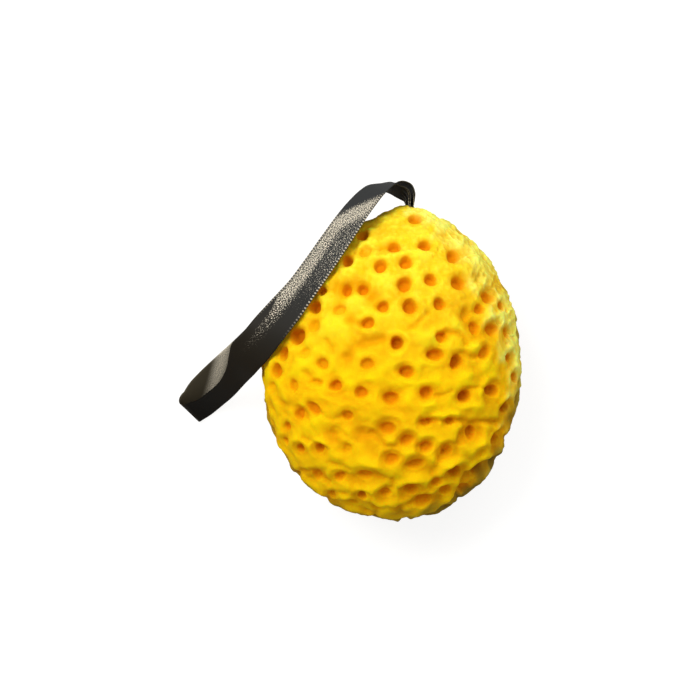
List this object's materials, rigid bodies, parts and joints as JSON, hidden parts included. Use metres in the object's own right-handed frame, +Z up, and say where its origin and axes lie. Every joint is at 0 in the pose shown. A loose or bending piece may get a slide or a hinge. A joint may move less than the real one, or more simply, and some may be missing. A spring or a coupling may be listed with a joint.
{
  "type": "honeycomb bath sponge",
  "caption": "Egg-shaped pitted foam bath sponge lying flat, with a satin ribbon hanging loop laid over its shoulder.",
  "frame": {"origin": "middle of the flat that the foam is pressed to where it lies, straight below the middle of its widest level", "axes": "+Y towards the narrow end with the ribbon, +X across, +Z up from the flat it rests on"},
  "size_m": [0.1387, 0.1356, 0.0699],
  "materials": {
    "yellow_foam": "matt soft foam with open pits",
    "black_satin": "black-brown satin ribbon, woven edges"
  },
  "bodies": {
    "root": {"sponge": "yellow_foam", "ribbon_loop": "black_satin"}
  },
  "joints": []
}
